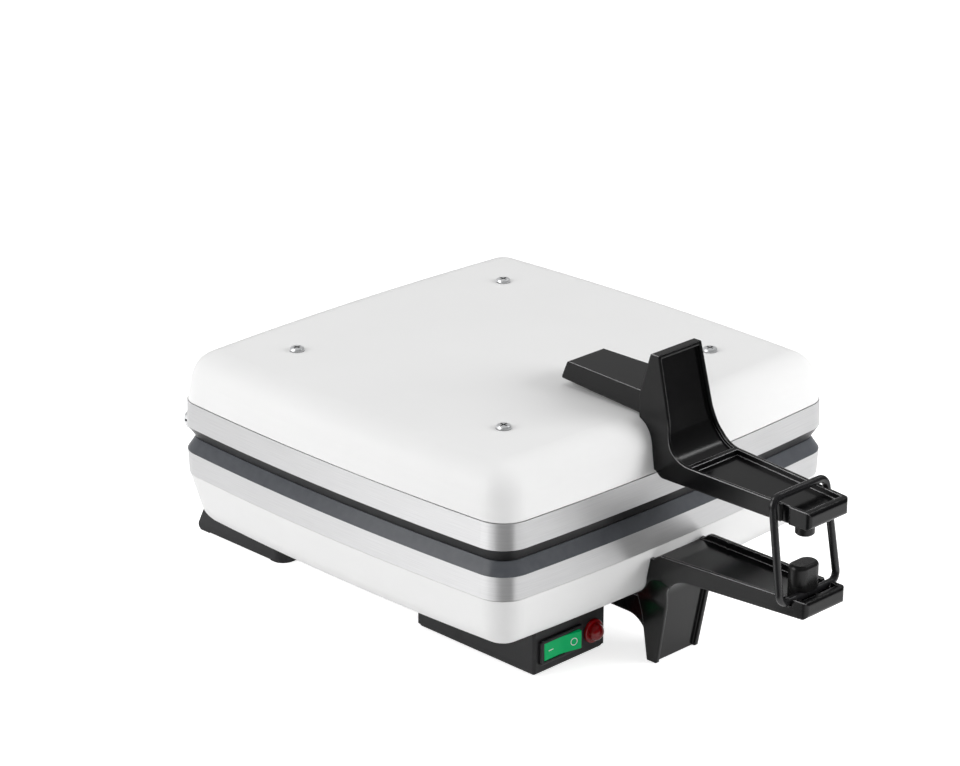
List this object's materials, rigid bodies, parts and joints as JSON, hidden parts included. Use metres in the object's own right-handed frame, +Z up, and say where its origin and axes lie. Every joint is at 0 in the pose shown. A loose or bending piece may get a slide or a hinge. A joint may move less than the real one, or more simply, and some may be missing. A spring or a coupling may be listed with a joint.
{
  "type": "bubble waffle maker",
  "caption": "Hinged bubble waffle iron: cast plates with round wells in painted covers, twin black handles with a wire bail, leg and wedge feet, and a switch box.",
  "frame": {"origin": "on the table under the middle of the whole object", "axes": "+Z up, +Y from the handles towards the hinge, +X to the right seen from the handles"},
  "size_m": [0.253, 0.3885, 0.1659],
  "materials": {
    "painted_cover": "gloss white paint",
    "cast_plate": "brushed band, dark coated chamfer and baking face",
    "gloss_handle": "gloss",
    "satin_black": "satin",
    "matt_black": "matt",
    "zinc_screw": "zinc plated",
    "bail_wire": "satin black",
    "heater_sheath": "oxidised",
    "shield_sheet": "mill",
    "green_rocker": "gloss, part translucent",
    "red_lens": "gloss, part translucent",
    "terminal_white": "matt"
  },
  "bodies": {
    "base": {"lower_plate": "cast_plate", "lower_cover": "painted_cover", "lower_element": "heater_sheath", "lower_shield": "shield_sheet", "thermostat": "shield_sheet", "lower_cover_screws": "zinc_screw", "lower_handle": "gloss_handle", "lower_handle_screws": "zinc_screw", "bail_keeper": "satin_black", "keeper_screw": "zinc_screw", "rear_foot_left": "matt_black", "rear_foot_right": "matt_black", "foot_screws": "zinc_screw", "control_box": "matt_black", "control_box_base": "matt_black", "box_screws": "zinc_screw", "switch_housing": "matt_black", "indicator_lens": "red_lens", "indicator_barrel": "matt_black", "terminal_block": "terminal_white", "cable_gland": "matt_black", "hinge_screws": "zinc_screw", "base_lead_gland": "zinc_screw"},
    "lid": {"upper_plate": "cast_plate", "upper_cover": "painted_cover", "upper_element": "heater_sheath", "upper_shield": "shield_sheet", "upper_cover_screws": "zinc_screw", "upper_handle": "gloss_handle", "upper_handle_screws": "zinc_screw", "handle_stop": "satin_black", "lid_lead_gland": "zinc_screw"},
    "bail": {"bail": "bail_wire"},
    "rocker": {"switch_rocker": "green_rocker"}
  },
  "joints": [
    {"name": "lid_hinge", "type": "hinge", "parent": "base", "child": "lid", "pos_m": [0, 0.15625, 0.0852], "axis": [-1, 0, 0], "range_deg": [0, 105]},
    {"name": "bail_swing", "type": "hinge", "parent": "base", "child": "bail", "pos_m": [0, -0.18325, 0.06253], "axis": [1, 0, 0], "range_deg": [0, 180]},
    {"name": "switch_tilt", "type": "hinge", "parent": "base", "child": "rocker", "pos_m": [-0.0542, -0.06615, 0.0135], "axis": [0, 0, 1], "range_deg": [0, 12]}
  ]
}
